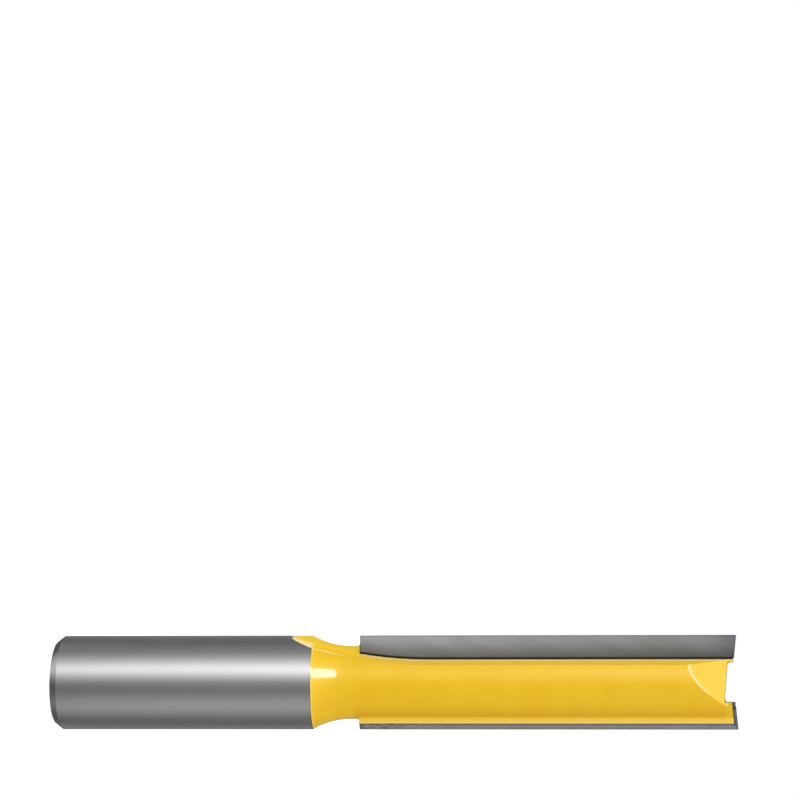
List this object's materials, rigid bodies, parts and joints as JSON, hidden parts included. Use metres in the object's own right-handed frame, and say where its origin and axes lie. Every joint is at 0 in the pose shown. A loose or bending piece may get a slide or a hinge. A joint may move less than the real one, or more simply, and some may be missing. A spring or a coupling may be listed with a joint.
{
  "type": "straight router bit",
  "caption": "Straight router bit: round steel shank, painted head with straight flutes and brazed carbide tips that cut grooves, edges and flat faces in wood.",
  "frame": {"origin": "centre of the flat end face of the shank", "axes": "+Z along the bit's axis from the shank to the cutting end; the cutting edges lie at +X and -X; the flute at +X opens towards +Y and the flute at -X towards -Y, so the bit cuts anticlockwise seen from +Z"},
  "size_m": [0.0126, 0.0126, 0.0928],
  "materials": {
    "head_paint": "glossy yellow enamel on the head and neck; the shank of the same piece is left as bare ground steel",
    "shank_steel": "ground round and round, satin",
    "carbide": "ground tungsten carbide, dull grey with fine slanting grinding marks"
  },
  "bodies": {
    "root": {"cutter_body": "head_paint", "carbide_tip_1": "carbide", "carbide_tip_2": "carbide"}
  },
  "joints": []
}
